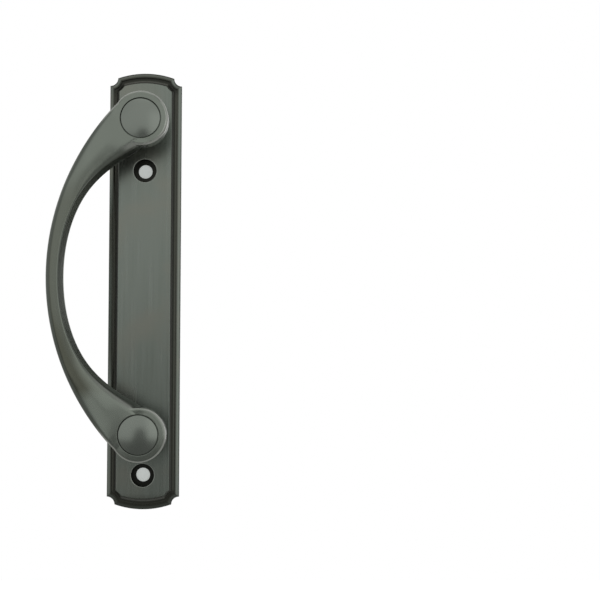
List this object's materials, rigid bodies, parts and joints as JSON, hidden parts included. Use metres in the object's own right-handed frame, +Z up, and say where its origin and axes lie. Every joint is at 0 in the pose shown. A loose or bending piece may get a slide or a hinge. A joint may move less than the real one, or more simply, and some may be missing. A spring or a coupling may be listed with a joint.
{
  "type": "sliding patio door handle",
  "caption": "Cast crescent bow pull on flared posts, fixed to a long stepped back plate with arched ends, scooped corners and counterbored mounting holes.",
  "frame": {"origin": "midway between the two mounting holes, on the plane of the plate's back", "axes": "+Z up along the plate, +X to the right seen from the room, +Y from the room into the door"},
  "size_m": [0.0779, 0.0511, 0.2704],
  "materials": {
    "dark_bronze": "dark satin bronze",
    "turned_bronze": "dark turned bronze",
    "zinc_steel": "zinc plated",
    "spring_steel": "plain"
  },
  "bodies": {
    "root": {"backplate": "dark_bronze", "pull_bow": "dark_bronze", "upper_cap": "turned_bronze", "lower_cap": "turned_bronze", "fixing_screws": "zinc_steel", "lock_washers": "spring_steel"}
  },
  "joints": []
}
